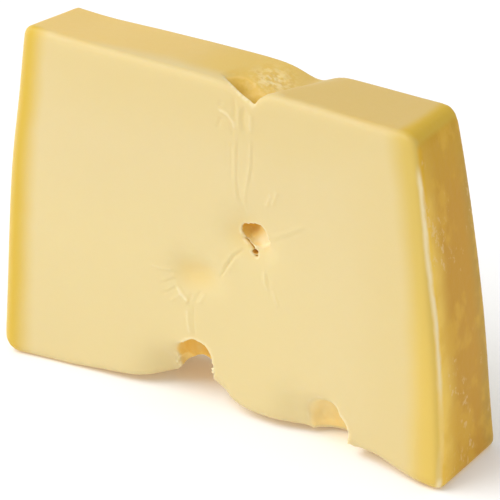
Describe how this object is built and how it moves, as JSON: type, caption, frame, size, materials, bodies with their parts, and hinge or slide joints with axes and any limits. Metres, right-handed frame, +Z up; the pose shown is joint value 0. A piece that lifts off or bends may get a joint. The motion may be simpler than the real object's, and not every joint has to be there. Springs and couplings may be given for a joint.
{
  "type": "cheese wedge",
  "caption": "Upright wedge of pale yellow large-eyed cheese with swollen rind ends, rounded edges, open holes in its front, top and foot, and a dimpled, creased front face.",
  "frame": {"origin": "middle of the wedge's footprint, on the surface it stands on", "axes": "+X from the steeper rind end to the leaning one, along the long edge it stands on; +Z up; -Y out of the broad front face, which has the open hole"},
  "size_m": [0.1311, 0.0291, 0.0872],
  "materials": {
    "cheese_paste": "satin"
  },
  "bodies": {
    "root": {"cheese_wedge": "cheese_paste"}
  },
  "joints": []
}
